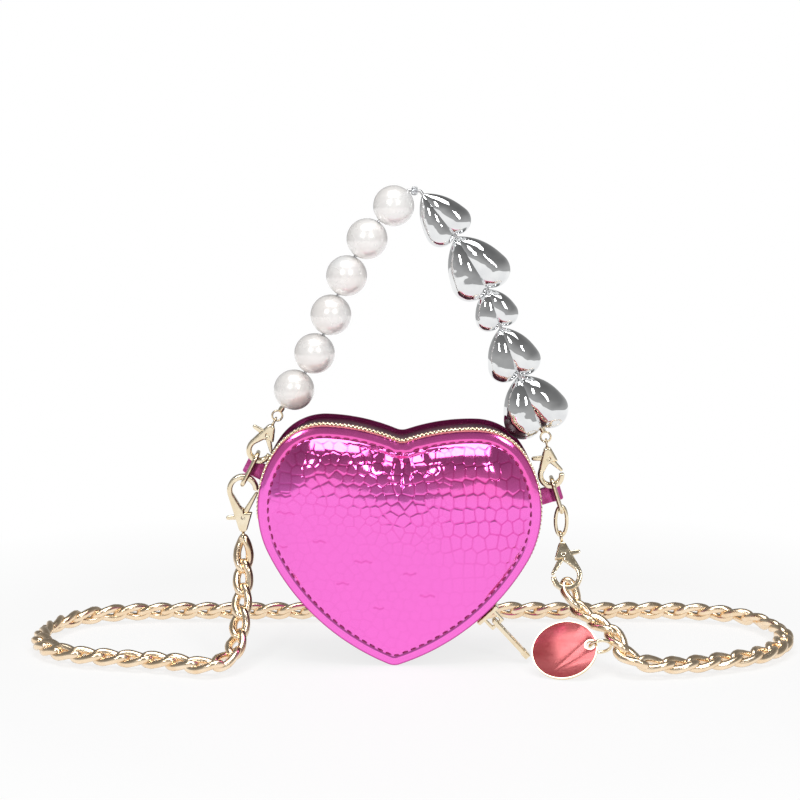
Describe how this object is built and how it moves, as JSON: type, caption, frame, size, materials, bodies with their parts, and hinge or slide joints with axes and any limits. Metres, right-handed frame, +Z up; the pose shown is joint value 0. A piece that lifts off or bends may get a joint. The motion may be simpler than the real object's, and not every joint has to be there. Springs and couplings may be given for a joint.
{
  "type": "heart shaped purse",
  "caption": "Small heart shaped zipped purse with puffed embossed panels, a handle of pearls and plated heart beads, and a clip-on shoulder chain with a disc tag.",
  "frame": {"origin": "middle of the spacer bead at the top of the bead handle, where a hand holds it", "axes": "+X to the right as seen from the front, +Y from the front panel to the back panel, +Z up"},
  "size_m": [0.3083, 0.1016, 0.1867],
  "materials": {
    "pink_leather": "gloss",
    "wine_leather": "satin",
    "tab_leather": "satin",
    "foam": "matte",
    "lining": "matte",
    "tape": "matte",
    "pearl": "gloss",
    "plated_bead": "polished",
    "clear_bead": "gloss",
    "cable": "satin",
    "spring_steel": "satin",
    "chain": "polished",
    "disc": "polished",
    "gold_metal": "polished"
  },
  "bodies": {
    "handle": {"handle_cable": "cable", "spacer_bead": "clear_bead", "cable_crimps": "gold_metal", "handle_ring_left": "gold_metal", "handle_ring_right": "gold_metal", "handle_clasp_left": "gold_metal", "handle_clasp_left_pin": "gold_metal", "handle_clasp_left_spring": "spring_steel", "handle_clasp_left_swivel": "gold_metal", "handle_clasp_right": "gold_metal", "handle_clasp_right_pin": "gold_metal", "handle_clasp_right_spring": "spring_steel", "handle_clasp_right_swivel": "gold_metal"},
    "slider": {"zip_slider": "gold_metal"},
    "puller": {"zip_puller": "gold_metal"},
    "disc": {"disc_charm": "disc"},
    "handle_clasp_left_lever": {"handle_clasp_left_lever": "gold_metal"},
    "handle_clasp_right_lever": {"handle_clasp_right_lever": "gold_metal"},
    "chain_clasp_left_lever": {"chain_clasp_left_lever": "gold_metal"},
    "chain_clasp_right_lever": {"chain_clasp_right_lever": "gold_metal"},
    "pearl_1": {"pearl_bead_1": "pearl"},
    "pearl_2": {"pearl_bead_2": "pearl"},
    "pearl_3": {"pearl_bead_3": "pearl"},
    "pearl_4": {"pearl_bead_4": "pearl"},
    "pearl_5": {"pearl_bead_5": "pearl"},
    "pearl_6": {"pearl_bead_6": "pearl"},
    "heart_1": {"heart_bead_1": "plated_bead"},
    "heart_2": {"heart_bead_2": "plated_bead"},
    "heart_3": {"heart_bead_3": "plated_bead"},
    "heart_4": {"heart_bead_4": "plated_bead"},
    "heart_5": {"heart_bead_5": "plated_bead"},
    "bag": {"front_panel": "pink_leather", "back_panel": "pink_leather", "front_foam": "foam", "back_foam": "foam", "gusset_strip": "wine_leather", "lining_front": "lining", "lining_back": "lining", "lining_band": "lining", "zip_tape_front": "tape", "zip_tape_back": "tape", "zip_teeth_front": "gold_metal", "zip_teeth_back": "gold_metal", "zip_stops": "gold_metal", "tab_left": "tab_leather", "tab_right": "tab_leather", "ring_left": "gold_metal", "ring_right": "gold_metal", "connector_ring": "gold_metal", "shoulder_chain": "chain", "charm_ring": "gold_metal", "chain_clasp_left": "gold_metal", "chain_clasp_left_pin": "gold_metal", "chain_clasp_left_spring": "spring_steel", "chain_clasp_left_swivel": "gold_metal", "chain_clasp_right": "gold_metal", "chain_clasp_right_pin": "gold_metal", "chain_clasp_right_spring": "spring_steel", "chain_clasp_right_swivel": "gold_metal"}
  },
  "joints": [
    {"name": "bag_swing", "type": "hinge", "parent": "handle", "child": "bag", "pos_m": [-0.06173, 0, -0.10365], "axis": [0.9962, 0, -0.087], "range_deg": [-12, 18]},
    {"name": "zip_slide", "type": "hinge", "parent": "bag", "child": "slider", "pos_m": [-0.03487, -0.014, -0.09801], "axis": [0, -1, 0], "range_deg": [0, 10]},
    {"name": "puller_swing", "type": "hinge", "parent": "slider", "child": "puller", "pos_m": [0.03172, -0.014, -0.16819], "axis": [0, -1, 0], "range_deg": [-50, 60]},
    {"name": "disc_swing", "type": "hinge", "parent": "bag", "child": "disc", "pos_m": [0.06787, -0.03387, -0.17288], "axis": [0.2931, -0.6336, 0.716], "range_deg": [-20, 20]},
    {"name": "handle_clasp_left_gate", "type": "hinge", "parent": "handle", "child": "handle_clasp_left_lever", "pos_m": [-0.05791, 0, -0.09615], "axis": [0, 1, 0], "range_deg": [0, 20], "stiffness_Nm_per_rad": 0.02, "springref_deg": -11.46},
    {"name": "handle_clasp_right_gate", "type": "hinge", "parent": "handle", "child": "handle_clasp_right_lever", "pos_m": [0.05319, 0, -0.10546], "axis": [0, 1, 0], "range_deg": [0, 20], "stiffness_Nm_per_rad": 0.02, "springref_deg": -11.46},
    {"name": "chain_clasp_left_gate", "type": "hinge", "parent": "bag", "child": "chain_clasp_left_lever", "pos_m": [-0.06786, 0, -0.12897], "axis": [0, -1, 0], "range_deg": [0, 20], "stiffness_Nm_per_rad": 0.02, "springref_deg": -11.46},
    {"name": "chain_clasp_right_gate", "type": "hinge", "parent": "bag", "child": "chain_clasp_right_lever", "pos_m": [0.05929, -0.00319, -0.14397], "axis": [-0.0552, -0.9063, 0.419], "range_deg": [0, 20], "stiffness_Nm_per_rad": 0.02, "springref_deg": -11.46},
    {"name": "pearl_1_spin", "type": "hinge", "parent": "handle", "child": "pearl_1", "pos_m": [-0.00806, 0, -0.00585], "axis": [-0.6947, 0, -0.7193], "continuous": true},
    {"name": "pearl_2_spin", "type": "hinge", "parent": "handle", "child": "pearl_2", "pos_m": [-0.01847, 0, -0.0187], "axis": [-0.5592, 0, -0.829], "continuous": true},
    {"name": "pearl_3_spin", "type": "hinge", "parent": "handle", "child": "pearl_3", "pos_m": [-0.02649, 0, -0.03317], "axis": [-0.4067, 0, -0.9136], "continuous": true},
    {"name": "pearl_4_spin", "type": "hinge", "parent": "handle", "child": "pearl_4", "pos_m": [-0.0327, 0, -0.04855], "axis": [-0.342, 0, -0.9397], "continuous": true},
    {"name": "pearl_5_spin", "type": "hinge", "parent": "handle", "child": "pearl_5", "pos_m": [-0.03918, 0, -0.06381], "axis": [-0.4384, 0, -0.8988], "continuous": true},
    {"name": "pearl_6_spin", "type": "hinge", "parent": "handle", "child": "pearl_6", "pos_m": [-0.04734, 0, -0.07823], "axis": [-0.5446, 0, -0.8387], "continuous": true},
    {"name": "heart_1_turn", "type": "hinge", "parent": "handle", "child": "heart_1", "pos_m": [0.00888, 0, -0.00839], "axis": [0.6225, 0, -0.7826], "range_deg": [-25, 25]},
    {"name": "heart_2_turn", "type": "hinge", "parent": "handle", "child": "heart_2", "pos_m": [0.02186, 0, -0.02691], "axis": [0.5299, 0, -0.848], "range_deg": [-25, 25]},
    {"name": "heart_3_turn", "type": "hinge", "parent": "handle", "child": "heart_3", "pos_m": [0.03084, 0, -0.04465], "axis": [0.3256, 0, -0.9455], "range_deg": [-25, 25]},
    {"name": "heart_4_turn", "type": "hinge", "parent": "handle", "child": "heart_4", "pos_m": [0.03709, 0, -0.06171], "axis": [0.3584, 0, -0.9336], "range_deg": [-25, 25]},
    {"name": "heart_5_turn", "type": "hinge", "parent": "handle", "child": "heart_5", "pos_m": [0.04532, 0, -0.08176], "axis": [0.3987, 0, -0.9171], "range_deg": [-25, 25]}
  ]
}
